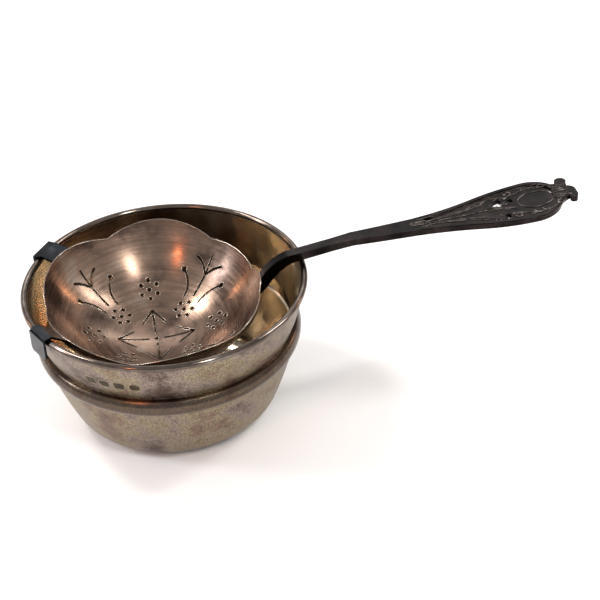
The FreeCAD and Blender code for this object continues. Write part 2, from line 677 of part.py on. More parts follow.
def pierceLeaf(body):
    # three openings between the scrolls, each a curved wedge that points to the bowl
    sketch = newSketch(body, "leaf_openings", "XY_Plane")
    openings = [("bean", 1), ("wedge", 1), ("petal", -1)]
    for name, side in openings:
        x = outFrom(name + "_reach")
        y = "%d * dims.%s_offset" % (side, name)
        length = "dims.%s_length" % name
        half = "dims.%s_width / 2" % name
        corners = [
            ("%s - %s / 2" % (x, length), y),
            ("%s + %s / 2" % (x, length), "%s - %s" % (y, half)),
            ("%s + %s / 2" % (x, length), "%s + %s" % (y, half)),
        ]
        bow = length + " * dims.opening_bow"
        arcs = {0: (bow, -1), 1: (length, -1), 2: (bow, -1)}
        drawLoop(sketch, corners, arcs)
    pocketThrough(body, sketch, "leaf_piercing")


def drawSurround(sketch):
    far = "(%s + dims.trim_margin)" % outFrom("tip_reach")
    wide = "(dims.crown_half_width + dims.trim_margin)"
    near = "(dims.rim_radius - dims.root_cover - dims.trim_margin)"
    drawLoop(sketch, [(near, "-" + wide), (far, "-" + wide), (far, wide), (near, wide)], {})


def makeLug(doc, label, angle, bowl, hollow):
    # strip from the bowl's edge, over the wire and down outside it, bent in its own XZ plane
    reach = "(%s - dims.strainer_setback * cos(%s * 1 deg))" % (STRAINER_RADIUS, angle)
    edge = ("(dims.bowl_height - dims.strainer_drop"
            " + %s * sin(%s * 1 deg) * sin(dims.strainer_roll * 1 deg)"
            " - (%s * cos(%s * 1 deg) + dims.strainer_setback)"
            " * sin(dims.strainer_pitch * 1 deg))" % (reach, angle, reach, angle))
    over = "dims.rim_radius - dims.wire_radius - dims.seat_gap"
    outside = "dims.rim_radius + dims.wire_radius + dims.seat_gap"
    flapEnd = REST_HEIGHT + " - dims.lug_flap"
    body = doc.addObject("PartDesign::Body", label + "_strip")
    sketch = newSketch(body, label + "_bend", "XZ_Plane")
    corners = [
        (reach + " - dims.lug_lap", edge + " - dims.lug_sink"),
        (over, REST_HEIGHT),
        (outside, REST_HEIGHT),
        (outside, flapEnd),
        (outside + " + dims.lug_wall", flapEnd),
        (outside + " + dims.lug_wall", REST_HEIGHT),
        (outside, REST_HEIGHT + " + dims.lug_wall"),
        (over, REST_HEIGHT + " + dims.lug_wall"),
        (reach + " - dims.lug_lap", edge + " - dims.lug_sink + dims.lug_wall"),
    ]
    drawLoop(sketch, corners, {5: ("dims.lug_wall", 1)})
    pad(body, sketch, "dims.lug_width")
    roundFlap(body, label, flapEnd)
    body.Placement = FreeCAD.Placement(
        FreeCAD.Vector(0, 0, 0), FreeCAD.Rotation(FreeCAD.Vector(0, 0, 1), valueOf(body, angle)))
    body.setExpression("Placement.Rotation.Angle", angle + " * 1 deg")
    return fitToBowl(doc, body, label, bowl, hollow)


def roundFlap(body, label, flapEnd):
    # takes the sharp corners off the flap's free end
    half = "(dims.lug_width / 2)"
    sketch = newSketch(body, label + "_corners", "YZ_Plane")
    for sign, side in (("", 1), ("-", -1)):
        corners = [
            ("%s(%s - dims.lug_corner)" % (sign, half), flapEnd),
            ("%s%s" % (sign, half), flapEnd + " + dims.lug_corner"),
            ("%s(%s + dims.clear_cut)" % (sign, half), flapEnd + " + dims.lug_corner"),
            ("%s(%s + dims.clear_cut)" % (sign, half), flapEnd + " - dims.clear_cut"),
            ("%s(%s - dims.lug_corner)" % (sign, half), flapEnd + " - dims.clear_cut"),
        ]
        drawLoop(sketch, corners, {0: ("dims.lug_corner", -side)})
    pocketThrough(body, sketch, label + "_rounding")


def checkDocument(doc, pieces):
    for item in doc.Objects:
        for flag in ("Invalid", "Error"):
            if flag in item.State:
                raise RuntimeError("%s is %s" % (item.Label, flag))
    for piece in pieces:
        shape = piece.Shape
        if shape.isNull() or not shape.isValid() or len(shape.Solids) != 1:
            raise RuntimeError("%s has no sound single solid" % piece.Label)


def main():
    doc = FreeCAD.newDocument("tea_strainer")
    makeSheet(doc)
    bowl = makeStrainerBowl(doc)
    hollow = makeBowlHollow(doc)
    pieces = [
        makeCup(doc),
        makeCollar(doc),
        makeRimWire(doc),
        bowl,
        makeHandle(doc, bowl, hollow),
        makeLug(doc, "back_lug", "dims.back_lug_angle", bowl, hollow),
        makeLug(doc, "front_lug", "dims.front_lug_angle", bowl, hollow),
    ]
    doc.recompute()
    checkDocument(doc, pieces)
    os.makedirs("parts", exist_ok=True)
    for piece in pieces:
        piece.Shape.exportStep("parts/%s.step" % piece.Label)
        box = piece.Shape.BoundBox
        print("%-18s volume %8.1f mm3  z %6.2f to %6.2f" % (
            piece.Label, piece.Shape.Volume, box.ZMin, box.ZMax))


main()
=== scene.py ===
import math
import bmesh
import bpy
from mathutils import Matrix, Vector
from mathutils.bvhtree import BVHTree


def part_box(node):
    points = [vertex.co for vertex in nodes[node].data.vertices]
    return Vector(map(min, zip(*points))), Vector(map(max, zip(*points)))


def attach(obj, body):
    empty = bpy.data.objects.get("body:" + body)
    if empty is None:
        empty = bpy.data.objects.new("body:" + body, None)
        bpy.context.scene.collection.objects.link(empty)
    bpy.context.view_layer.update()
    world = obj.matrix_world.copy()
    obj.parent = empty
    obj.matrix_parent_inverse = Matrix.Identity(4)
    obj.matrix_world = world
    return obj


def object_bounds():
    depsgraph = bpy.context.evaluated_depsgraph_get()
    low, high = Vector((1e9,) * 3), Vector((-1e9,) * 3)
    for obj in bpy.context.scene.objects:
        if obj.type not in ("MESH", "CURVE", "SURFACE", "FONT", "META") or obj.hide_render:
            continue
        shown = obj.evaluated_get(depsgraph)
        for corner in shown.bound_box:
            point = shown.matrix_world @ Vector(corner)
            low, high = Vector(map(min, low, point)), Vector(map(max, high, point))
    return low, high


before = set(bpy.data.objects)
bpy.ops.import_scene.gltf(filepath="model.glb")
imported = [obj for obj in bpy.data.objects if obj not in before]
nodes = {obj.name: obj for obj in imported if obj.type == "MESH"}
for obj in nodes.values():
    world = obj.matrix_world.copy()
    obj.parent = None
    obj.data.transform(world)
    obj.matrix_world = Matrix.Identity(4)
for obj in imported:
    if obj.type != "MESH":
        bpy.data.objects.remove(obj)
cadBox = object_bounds()
print("frame loaded:", sorted(nodes))


def hexColour(text):  # sRGB hex to linear RGBA
    values = [int(text[i:i + 2], 16) / 255 for i in (1, 3, 5)]
    return [v / 12.92 if v <= 0.04045 else ((v + 0.055) / 1.055) ** 2.4 for v in values] + [1]


def addNode(tree, kind, settings, links=None):  # one shader node with its settings and links
    node = tree.nodes.new("ShaderNode" + kind)
    for name, value in settings.items():
        if isinstance(name, str) and hasattr(node, name):
            setattr(node, name, value)
        else:
            node.inputs[name].default_value = value
    for name, source in (links or {}).items():
        tree.links.new(source, node.inputs[name])
    return node


def setRamp(ramp, stops):  # stops: (position, hex colour) in order
    elements = ramp.color_ramp.elements
    while len(elements) < len(stops):
        elements.new(0.5)
    for element, (position, colour) in zip(elements, stops):
        element.position = position
        element.color = hexColour(colour)
    return ramp


def addNoise(tree, place, size, detail, roughness):  # clouds or grain about size metres across
    return addNode(tree, "TexNoise", {"Scale": 1 / size, "Detail": detail, "Roughness": roughness},
                   {"Vector": place.outputs["Object"]})


noiseSpan = (0.3, 0.7)       # where most of a noise's values lie


def spread(tree, noise, low, high, span=noiseSpan):  # a noise's span, carried to low and high
    return addNode(tree, "MapRange", {"From Min": span[0], "From Max": span[1],
                                      "To Min": low, "To Max": high},
                   {"Value": noise.outputs["Fac"]})


def addGrey(tree, value):
    return addNode(tree, "CombineColor", {}, {channel: value.outputs[0] for channel in range(3)})


def addRamp(tree, noise, stops):
    return setRamp(addNode(tree, "ValToRGB", {}, {"Fac": noise.outputs["Fac"]}), stops)


def newMaterial(name):
    material = bpy.data.materials.new(name)
    material.use_nodes = True
    material.node_tree.nodes.clear()
    return material


def finishMaterial(material, shader):
    output = addNode(material.node_tree, "OutputMaterial", {})
    material.node_tree.links.new(shader.outputs["BSDF"], output.inputs["Surface"])
    return material


# tarnished sterling silver, spun and long unpolished: a warm brown sulphide film over the metal,
# satin outside with fine grain and yellow and rosy patches, glossier and more golden inside
dripSilver = {
    "turned": (-0.12, 0.02),  # how far a face turns outward: inside finish below, outside above
    "patchSize": 0.012,      # yellow and rosy clouds of film
    "patchNoise": (5, 0.62),  # how much finer detail the clouds have, and how strong it is
    "grainSize": 0.00045,    # surface grain is nearer 0.2 mm, drawn coarser so it shows
    "grainNoise": (3, 0.6),
    "outside": [(0.34, "#5e4e46"), (0.45, "#93847a"), (0.54, "#988b73"), (0.62, "#856f60"),
                (0.72, "#705a53")],
    "inside": [(0.35, "#d4c6b4"), (0.52, "#e2d5c0"), (0.68, "#ede4d4")],
    "shoulder": "#43362f",   # painted shade: the rolled shoulder is glossy, and darkened to stand in for the dark it mirrors
    "shoulderFrom": (0.0196, 0.0206),  # heights above the table between which the gloss and the painted shade come in
    "shoulderTo": (0.0238, 0.0246),  # and go out
    "shoulderShare": 0.78,   # the rest is grain and clouds showing through
    "speckSpan": (0.36, 0.66),
    "speckShade": (0.56, 1.30),  # darkest and lightest speck against the film
    "roughOutside": (0.34, 0.52),
    "roughInside": (0.10, 0.26),
    "roughShoulder": 0.17,
    "grainDepth": 0.00003,
}


def makeDripSilver(facts):
    material = newMaterial("tarnished_silver_and_painted_shoulder_shade")
    tree = material.node_tree
    place = addNode(tree, "TexCoord", {})
    geometry = addNode(tree, "NewGeometry", {})
    flat = addNode(tree, "VectorMath", {"operation": "MULTIPLY", 1: (1, 1, 0)},
                   {0: place.outputs["Object"]})
    outward = addNode(tree, "VectorMath", {"operation": "NORMALIZE"}, {0: flat.outputs[0]})
    facing = addNode(tree, "VectorMath", {"operation": "DOT_PRODUCT"},
                     {0: outward.outputs[0], 1: geometry.outputs["Normal"]})
    outside = addNode(tree, "MapRange", {"From Min": facts["turned"][0],
                                         "From Max": facts["turned"][1]},
                      {"Value": facing.outputs["Value"]})
    patches = addNoise(tree, place, facts["patchSize"], *facts["patchNoise"])
    grain = addNoise(tree, place, facts["grainSize"], *facts["grainNoise"])
    outRamp = addRamp(tree, patches, facts["outside"])
    inRamp = addRamp(tree, patches, facts["inside"])
    film = addNode(tree, "Mix", {"data_type": "RGBA"},
                   {0: outside.outputs[0], 6: inRamp.outputs[0], 7: outRamp.outputs[0]})
    speck = spread(tree, grain, *facts["speckShade"], facts["speckSpan"])
    speckColour = addGrey(tree, speck)
    specked = addNode(tree, "Mix", {"data_type": "RGBA", "blend_type": "MULTIPLY"},
                      {0: outside.outputs[0], 6: film.outputs[2], 7: speckColour.outputs[0]})
    satin = spread(tree, grain, *facts["roughOutside"])
    gloss = spread(tree, patches, *facts["roughInside"])
    rough = addNode(tree, "Mix", {"data_type": "FLOAT"},
                    {0: outside.outputs[0], 2: gloss.outputs[0], 3: satin.outputs[0]})
    split = addNode(tree, "SeparateXYZ", {}, {0: place.outputs["Object"]})
    begins = addNode(tree, "MapRange", {"From Min": facts["shoulderFrom"][0],
                                        "From Max": facts["shoulderFrom"][1],
                                        "To Max": facts["shoulderShare"]},
                     {"Value": split.outputs["Z"]})
    ends = addNode(tree, "MapRange", {"From Min": facts["shoulderTo"][0],
                                      "From Max": facts["shoulderTo"][1],
                                      "To Min": 1.0, "To Max": 0.0},
                   {"Value": split.outputs["Z"]})
    band = addNode(tree, "Math", {"operation": "MULTIPLY"}, {0: begins.outputs[0],
                                                             1: ends.outputs[0]})
    shoulderGlossAndPaintedShade = addNode(tree, "Math", {"operation": "MULTIPLY"}, {0: band.outputs[0],
                                                               1: outside.outputs[0]})
    # the shoulder band's colour: painted shade mixed over the film
    paintedShadeBand = addNode(tree, "Mix", {"data_type": "RGBA", 7: hexColour(facts["shoulder"])},
                     {0: shoulderGlossAndPaintedShade.outputs[0], 6: specked.outputs[2]})
    bandRough = addNode(tree, "Mix", {"data_type": "FLOAT", 3: facts["roughShoulder"]},
                        {0: shoulderGlossAndPaintedShade.outputs[0], 2: rough.outputs[0]})
    bump = addNode(tree, "Bump", {"Distance": facts["grainDepth"]},
                   {"Strength": outside.outputs[0], "Height": grain.outputs["Fac"]})
    shader = addNode(tree, "BsdfPrincipled", {"Metallic": 1.0},
                     {"Base Color": paintedShadeBand.outputs[2], "Roughness": bandRough.outputs[0],
                      "Normal": bump.outputs[0]})
    return finishMaterial(material, shader)


# the same silver inside the strainer, burnished round the bowl by use: fine level lines,
# brown film with coppery places
strainerSilver = {
    "tilt": (4.3, 1.3),      # degrees, as the bowl hangs, so the lines follow its edge
    "lineSize": 0.0005,      # burnishing lines are nearer 0.1 mm, drawn coarser so they show
    "lineLength": 1 / 60,    # metres along a line before it changes
    "patchSize": 0.011,
    "patchNoise": (5, 0.6),
    "film": [(0.34, "#574840"), (0.46, "#867063"), (0.57, "#99806f"), (0.70, "#aa9e92")],
    "lineShade": (0.72, 1.15),
    "shadeShare": 0.8,
    "rough": (0.20, 0.34),
    "across": 0.65,          # how much the burnish stretches a highlight across its lines
    "acrossTurn": 0.25,      # a quarter turn, so the stretch runs down the bowl
    "lineDepth": 0.00001,
    "lineStrength": 0.7,
}


def makeStrainerSilver(facts):
    material = newMaterial("burnished_strainer_silver")
    tree = material.node_tree
    place = addNode(tree, "TexCoord", {})
    tilt = (math.radians(-facts["tilt"][0]), math.radians(-facts["tilt"][1]), 0)
    level = addNode(tree, "Mapping", {"Rotation": tilt}, {"Vector": place.outputs["Object"]})
    along = 1 / facts["lineLength"]
    stretch = addNode(tree, "VectorMath", {"operation": "MULTIPLY",
                                           1: (along, along, 1 / facts["lineSize"])},
                      {0: level.outputs[0]})
    lines = addNode(tree, "TexNoise", {"Scale": 1, "Detail": 4, "Roughness": 0.65},
                    {"Vector": stretch.outputs[0]})
    patches = addNoise(tree, place, facts["patchSize"], *facts["patchNoise"])
    film = addRamp(tree, patches, facts["film"])
    shade = addGrey(tree, spread(tree, lines, *facts["lineShade"]))
    colour = addNode(tree, "Mix", {"data_type": "RGBA", "blend_type": "MULTIPLY",
                                   0: facts["shadeShare"]},
                     {6: film.outputs[0], 7: shade.outputs[0]})
    rough = spread(tree, lines, *facts["rough"])
    bump = addNode(tree, "Bump", {"Distance": facts["lineDepth"],
                                  "Strength": facts["lineStrength"]},
                   {"Height": lines.outputs["Fac"]})
    around = addNode(tree, "Tangent", {"direction_type": "RADIAL", "axis": "Z"})
    shader = addNode(tree, "BsdfPrincipled",
                     {"Metallic": 1.0, "Anisotropic": facts["across"],
                      "Anisotropic Rotation": facts["acrossTurn"]},
                     {"Base Color": colour.outputs[2], "Roughness": rough.outputs[0],
                      "Normal": bump.outputs[0], "Tangent": around.outputs["Tangent"]})
    return finishMaterial(material, shader)


# one recipe for the small parts: silver under an even film, worn by the hand
cloudNoise = (5, 0.6)        # detail and its strength in the film's clouds
fineNoise = (2, 0.5)
finerBy = 12                 # roughness and dents are this much finer than the film's clouds
dentStrength = 0.6
smallSilver = {
    "oxidised_handle_silver": {"film": [(0.32, "#131111"), (0.52, "#241f1e"), (0.72, "#3b3230")],
                               "size": 0.006, "rough": (0.14, 0.28), "depth": 0.00001},
    "rubbed_wire_silver": {"film": [(0.30, "#4d433d"), (0.55, "#6f635b"), (0.75, "#948a80")],
                           "size": 0.008, "rough": (0.08, 0.18), "depth": 0.00001},
    # the lugs: blue-grey tarnish, darkened near black as painted shade for the dark they mirror
    "lug_tarnish_and_painted_shade": {"film": [(0.32, "#131416"), (0.55, "#232629"), (0.74, "#3a3b3d")],
                        "size": 0.004, "rough": (0.12, 0.26), "depth": 0.00002},
    "worn_edge_silver": {"film": [(0.30, "#94857a"), (0.55, "#b5a79a"), (0.75, "#d0c5ba")],
                         "size": 0.003, "rough": (0.14, 0.28), "depth": 0.00001},
    "worn_relief_silver": {"film": [(0.32, "#332e2c"), (0.55, "#5a524e"), (0.74, "#8d8480")],
                           "size": 0.002, "rough": (0.18, 0.34), "depth": 0.00001},
    "punched_silver": {"film": [(0.32, "#857a63"), (0.55, "#a89b80"), (0.74, "#c4b89c")],
                       "size": 0.001, "rough": (0.25, 0.45), "depth": 0.00001},
    "punched_field_silver": {"film": [(0.32, "#2c241d"), (0.55, "#43382b"), (0.74, "#5f533d")],
                             "size": 0.001, "rough": (0.25, 0.45), "depth": 0.00001},
}


def makeSmallSilver(name, facts):
    material = newMaterial(name)
    tree = material.node_tree
    place = addNode(tree, "TexCoord", {})
    clouds = addNoise(tree, place, facts["size"], *cloudNoise)
    fine = addNoise(tree, place, facts["size"] / finerBy, *fineNoise)
    film = addRamp(tree, clouds, facts["film"])
    rough = spread(tree, fine, *facts["rough"])
    bump = addNode(tree, "Bump", {"Distance": facts["depth"], "Strength": dentStrength},
                   {"Height": fine.outputs["Fac"]})
    shader = addNode(tree, "BsdfPrincipled", {"Metallic": 1.0},
                     {"Base Color": film.outputs[0], "Roughness": rough.outputs[0],
                      "Normal": bump.outputs[0]})
    return finishMaterial(material, shader)


def dress(name, material):  # gives a carried-over piece its finish
    slots = nodes[name].material_slots
    if not slots:
        nodes[name].data.materials.append(material)
    for slot in slots:
        slot.material = material


dripMaterial = makeDripSilver(dripSilver)
strainerMaterial = makeStrainerSilver(strainerSilver)
smallMaterials = {name: makeSmallSilver(name, facts) for name, facts in smallSilver.items()}
dress("drip_bowl_cup", dripMaterial)
dress("drip_bowl_collar", dripMaterial)
dress("rim_wire", smallMaterials["rubbed_wire_silver"])
dress("strainer_bowl", strainerMaterial)
dress("handle", smallMaterials["oxidised_handle_silver"])
dress("back_lug", smallMaterials["lug_tarnish_and_painted_shade"])
dress("front_lug", smallMaterials["lug_tarnish_and_painted_shade"])
print("finishes on every piece")

wireLow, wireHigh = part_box("rim_wire")
rimCentre = (wireLow + wireHigh) / 2
mm = 0.001


def surfaceOf(name):  # the carried-over piece as a surface that rays can find
    mesh = nodes[name].data
    return BVHTree.FromPolygons([v.co.copy() for v in mesh.vertices],
                                [tuple(face.vertices) for face in mesh.polygons])


def landOn(surface, start, direction):  # where a ray lands on the metal, or None
    return surface.ray_cast(start, direction)[0]


def unbroken(points, closed):  # the stretches of a line that land on metal
    gaps = [number for number, point in enumerate(points) if point is None]
    if not gaps:
        return [(points, closed)]
    if closed:
        points = points[gaps[0]:] + points[:gaps[0]]
    runs, run = [], []
    for point in points + [None]:
        if point is None:
            if len(run) > 1:
                runs.append((run, False))
            run = []
        else:
            run.append(point)
    return runs


def layTubes(name, body, material, lines, radius, sides=1):
    # thin round beads along lines of points; a line is (points, closed)
    data = bpy.data.curves.new(name + "_lines", "CURVE")
    data.dimensions = "3D"
    data.bevel_depth = radius
    data.bevel_resolution = sides
    data.use_fill_caps = True
    laid = [run for points, closed in lines for run in unbroken(points, closed)]
    for points, closed in laid:
        spline = data.splines.new("POLY")
        spline.points.add(len(points) - 1)
        for target, point in zip(spline.points, points):
            target.co = (*point, 1)
        spline.use_cyclic_u = closed
    guide = bpy.data.objects.new(name + "_guide", data)
    bpy.context.scene.collection.objects.link(guide)
    bpy.context.view_layer.update()
    evaluated = guide.evaluated_get(bpy.context.evaluated_depsgraph_get())
    mesh = bpy.data.meshes.new_from_object(evaluated)
    mesh.name = name
    bpy.data.objects.remove(guide)
    for face in mesh.polygons:
        face.use_smooth = True
    for vertex in mesh.vertices:  # no bead stands above the highest solid
        vertex.co.z = min(vertex.co.z, cadBox[1][2])
    mesh.materials.clear()
    mesh.materials.append(material)
    piece = bpy.data.objects.new(name, mesh)
    bpy.context.scene.collection.objects.link(piece)
    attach(piece, body)
    print(name, "drawn as", len(lines), "lines, laid in", len(laid), "stretches")


# the strainer's pierced pattern, millimetres in the bowl's own level frame, four times round
piercing = {
    "seat": (-3.0, 0.0, -0.5),  # the bowl's axis and edge, from the rim's centre
    "tilt": strainerSilver["tilt"],
    "turn": -2.0,               # degrees round from the handle
    "drill": 0.5, "bulb": 0.6, "saw": 0.225,  # hole radii and half the saw cut's width
    "rimOut": 0.12, "burrOut": 0.07,  # how far outside a hole and a saw cut their beads run
    "ringSteps": 14,
    "bunches": [(0.0, 15.2, 2.3), (45.0, 11.2, 2.1)],  # direction, middle, ring
    "ringHoles": 6,
    "bulbs": (19.3, 5.9),
    "sprigTurn": 45.0,          # the sprigs and their bulbs, round from the arrows
    # saw cuts: start, end, bow to the left of the way travelled
    "arrow": [((1.8, 0), (9.6, 0), 0), ((5.3, 3.0), (9.6, 0), 0), ((5.3, -3.0), (9.6, 0), 0)],
    "sprig": [((15.2, 0), (24.0, 0), 0), ((20.2, 0), (22.65, 4.0), -0.55),
              ((20.2, 0), (22.65, -4.0), 0.55), ((14.0, 2.2), (19.3, 5.9), -0.95),
              ((14.0, -2.2), (19.3, -5.9), 0.95)],
    "rimWidth": 0.1, "burrWidth": 0.08, "edgeWidth": 0.12,
    "edgeSearch": (23.0, 28.2),  # the edge's least and greatest radius
    "edgeHalvings": 16,
    "edgeSteps": 480,
    "edgeIn": 0.02,             # how far inside the edge its bead is laid
    "above": 10.0,              # rays start this far over the edge
}
bowlSurface = surfaceOf("strainer_bowl")
seat = (Matrix.Translation(rimCentre + Vector(piercing["seat"]) * mm)
        @ Matrix.Rotation(math.radians(piercing["tilt"][1]), 4, "Y")
        @ Matrix.Rotation(math.radians(piercing["tilt"][0]), 4, "X"))
bowlDown = -(seat.to_3x3() @ Vector((0, 0, 1)))


def onBowl(x, y, turn):  # a plan point of the pattern, dropped onto the bowl's inside
    c, s = math.cos(math.radians(turn)), math.sin(math.radians(turn))
    start = seat @ (Vector((x * c - y * s, x * s + y * c, piercing["above"])) * mm)
    return landOn(bowlSurface, start, bowlDown)


def ringPoints(x, y, radius, turn):
    steps = piercing["ringSteps"]
    angles = [2 * math.pi * step / steps for step in range(steps)]
    return [onBowl(x + radius * math.cos(a), y + radius * math.sin(a), turn) for a in angles]


bowedStep = 0.6              # millimetres between the points of a bowed line
bowedLeast = 4               # and the fewest steps it is drawn in


def bowedPoints(start, end, bow, side=0):  # a bowed line in plan, moved sideways by side
    ax, ay = start
    bx, by = end
    span = math.hypot(bx - ax, by - ay)
    nx, ny = (ay - by) / span, (bx - ax) / span
    steps = max(bowedLeast, int(span / bowedStep))
    points = []
    for step in range(steps + 1):
        t = step / steps
        reach = bow * 4 * t * (1 - t) + side
        points.append((ax + (bx - ax) * t + nx * reach, ay + (by - ay) * t + ny * reach))
    return points


def drillRims(facts):
    lines = []
    radius = facts["drill"] + facts["rimOut"]
    apart = 360 / facts["ringHoles"]
    for quarter in range(4):
        for direction, middle, ring in facts["bunches"]:
            turn = facts["turn"] + direction + 90 * quarter
            spots = [(middle, 0.0)]
            spots += [(middle + ring * math.cos(math.radians(apart * k)),
                       ring * math.sin(math.radians(apart * k))) for k in range(facts["ringHoles"])]
            lines += [(ringPoints(x, y, radius, turn), True) for x, y in spots]
        turn = facts["turn"] + facts["sprigTurn"] + 90 * quarter
        for side in (1, -1):
            x, y = facts["bulbs"][0], facts["bulbs"][1] * side
            lines.append((ringPoints(x, y, facts["bulb"] + facts["rimOut"], turn), True))
    lines.append((ringPoints(0, 0, radius, 0), True))
    return lines


def sawRims(facts):
    lines = []
    offset = facts["saw"] + facts["burrOut"]
    for quarter in range(4):
        for figure, direction in (("arrow", 0), ("sprig", facts["sprigTurn"])):
            turn = facts["turn"] + direction + 90 * quarter
            for start, end, bow in facts[figure]:
                for side in (offset, -offset):
                    plan = bowedPoints(start, end, bow, side)
                    lines.append(([onBowl(x, y, turn) for x, y in plan], False))
    return lines


def edgePoints(facts):  # the scalloped edge, found where a ray from above stops meeting the bowl
    steps = facts["edgeSteps"]
    points = []
    for step in range(steps):
        turn = 360 * step / steps
        near, far = facts["edgeSearch"]
        for _ in range(facts["edgeHalvings"]):
            middle = (near + far) / 2
            if onBowl(middle, 0, turn) is None:
                far = middle
            else:
                near = middle
        points.append(onBowl(near - facts["edgeIn"], 0, turn))
    return points


layTubes("drilled_hole_rims", "strainer", smallMaterials["worn_edge_silver"],
         drillRims(piercing), piercing["rimWidth"] * mm)
layTubes("saw_cut_rims", "strainer", smallMaterials["worn_edge_silver"],
         sawRims(piercing), piercing["burrWidth"] * mm, 0)
layTubes("worn_scalloped_edge", "strainer",
         smallMaterials["worn_edge_silver"], [(edgePoints(piercing), True)],
         piercing["edgeWidth"] * mm, 2)

# raised scrollwork in the leaf's sunk field, millimetres from the drip bowl's axis
leafRelief = {
    "lineWidth": 0.23,
    "fineWidth": 0.15,
    "edgeWidth": 0.26,       # the plate's top edge is rounded over
    "edgeIn": 0.12, "edgeSink": 0.2,  # where that round runs, in from the edge and below the top
    "edgeStep": 0.6, "borderStep": 0.7,  # along the leaf between points
    "edgeSearch": (0.3, 12.0),  # half the leaf's least and greatest width
    "edgeHalvings": 14,
    "lowest": 2.0,           # under the wire's top by this, a ray has passed the leaf by
    "above": 30.0,           # rays start this far over the wire's top
    "border": (64.0, 103.0, 1.25),  # from, to, in from the leaf's edge
    "borderLeast": 0.3,      # the border stops where the leaf is narrower than this
    "ovalSteps": 48,
    "scrollSteps": 16,       # in one turn of a scroll
    "scrollCloses": 0.78,    # share of its radius that a scroll loses by its end
    "cartouche": (94.4, 0.2, 4.6, 3.3),  # middle, half length, half width
    # start, end, bow, as for the saw cuts
    "panel": [((62.0, 0.5), (80.6, 2.5), -0.35), ((62.0, 0.0), (86.0, 0.0), 0)],
    # middle x, y, outer radius, turns, start angle
    "scrolls": [(80.6, 3.5, 1.0, 0.85, 200), (83.0, 5.0, 0.9, 0.8, 340),
                (88.6, 5.2, 1.2, 0.9, 160), (91.8, 5.6, 0.8, 0.8, 250),
                (99.6, 3.4, 1.1, 0.8, 60), (101.5, 1.6, 0.8, 0.8, 100),
                (86.6, 1.0, 0.7, 0.8, 30), (96.6, 4.9, 0.8, 0.8, 20)],
    "tendrils": [((74.5, 1.0), (80.4, 2.6), 0.35), ((80.4, 2.6), (84.6, 4.4), 0.6),
                 ((82.0, 0.8), (88.8, 1.6), -0.6), ((84.6, 4.4), (90.2, 4.4), -0.7),
                 ((86.8, 3.0), (90.6, 4.4), 0.4), ((90.6, 4.6), (97.6, 4.6), 0.9),
                 ((97.6, 4.6), (102.4, 2.2), 0.5), ((71.0, 1.2), (76.0, 2.1), 0.25),
                 ((99.4, 0.6), (103.2, 0.4), 0.25), ((99.4, 1.5), (103.0, 1.2), 0.25)],
    "veins": [((84.2, 3.2), (85.6, 4.4), 0.1), ((85.0, 2.6), (87.0, 3.6), 0.1),
              ((87.6, 4.6), (88.6, 5.9), 0.1), ((76.8, 2.2), (78.6, 3.2), 0.1),
              ((78.8, 2.9), (80.2, 4.0), 0.1), ((92.6, 4.4), (93.6, 5.6), 0.1),
              ((94.8, 4.3), (95.6, 5.4), 0.1), ((100.2, 2.4), (101.6, 3.2), 0.1)],
}
handleSurface = surfaceOf("handle")


def onLeaf(x, y):
    start = Vector((x * mm, y * mm, wireHigh.z + leafRelief["above"] * mm))
    return landOn(handleSurface, start, Vector((0, 0, -1)))


def bowedOnLeaf(start, end, bow, mirror):
    return [onLeaf(x, mirror * y) for x, y in bowedPoints(start, end, bow)]


def scrollPoints(x, y, radius, turns, startAngle, mirror):
    steps = int(turns * leafRelief["scrollSteps"])
    points = []
    for step in range(steps + 1):
        share = step / steps
        angle = math.radians(startAngle) + share * turns * 2 * math.pi
        reach = radius * (1 - leafRelief["scrollCloses"] * share)
        points.append(onLeaf(x + reach * math.cos(angle), mirror * (y + reach * math.sin(angle))))
    return points


def leafEdge(x, mirror):  # half the leaf's width there, by halving
    near, far = leafRelief["edgeSearch"]
    lowest = wireHigh.z - leafRelief["lowest"] * mm
    for _ in range(leafRelief["edgeHalvings"]):
        middle = (near + far) / 2
        spot = onLeaf(x, mirror * middle)
        if spot is None or spot.z < lowest:
            far = middle
        else:
            near = middle
    return near


def borderLines(facts):
    start, finish, inset = facts["border"]
    lines = []
    for mirror in (1, -1):
        points = []
        steps = int((finish - start) / facts["borderStep"])
        for step in range(steps + 1):
            x = start + (finish - start) * step / steps
            half = leafEdge(x, mirror)
            fits = half > inset + facts["borderLeast"]
            points.append(onLeaf(x, mirror * (half - inset)) if fits else None)
        lines.append((points, False))
    return lines


def reliefLines(facts):
    lines = []
    x0, y0, halfLength, halfWidth = facts["cartouche"]
    steps = facts["ovalSteps"]
    angles = [2 * math.pi * step / steps for step in range(steps)]
    lines.append(([onLeaf(x0 + halfLength * math.cos(a), y0 + halfWidth * math.sin(a))
                   for a in angles], True))
    for mirror in (1, -1):
        lines += [(bowedOnLeaf(*line, mirror), False) for line in facts["panel"]]
        lines += [(scrollPoints(*scroll, mirror), False) for scroll in facts["scrolls"]]
        lines += [(bowedOnLeaf(*line, mirror), False) for line in facts["tendrils"]]
    return lines


def roundedEdge(facts):  # along both top edges of the leaf
    start, finish = facts["border"][:2]
    sink = Vector((0, 0, facts["edgeSink"] * mm))
    lines = []
    for mirror in (1, -1):
        steps = int((finish - start) / facts["edgeStep"])
        points = []
        for step in range(steps + 1):
            x = start + (finish - start) * step / steps
            spot = onLeaf(x, mirror * (leafEdge(x, mirror) - facts["edgeIn"]))
            points.append(None if spot is None else spot - sink)
        lines.append((points, False))
    return lines


def veinLines(facts):
    return [(bowedOnLeaf(*line, mirror), False) for mirror in (1, -1) for line in facts["veins"]]


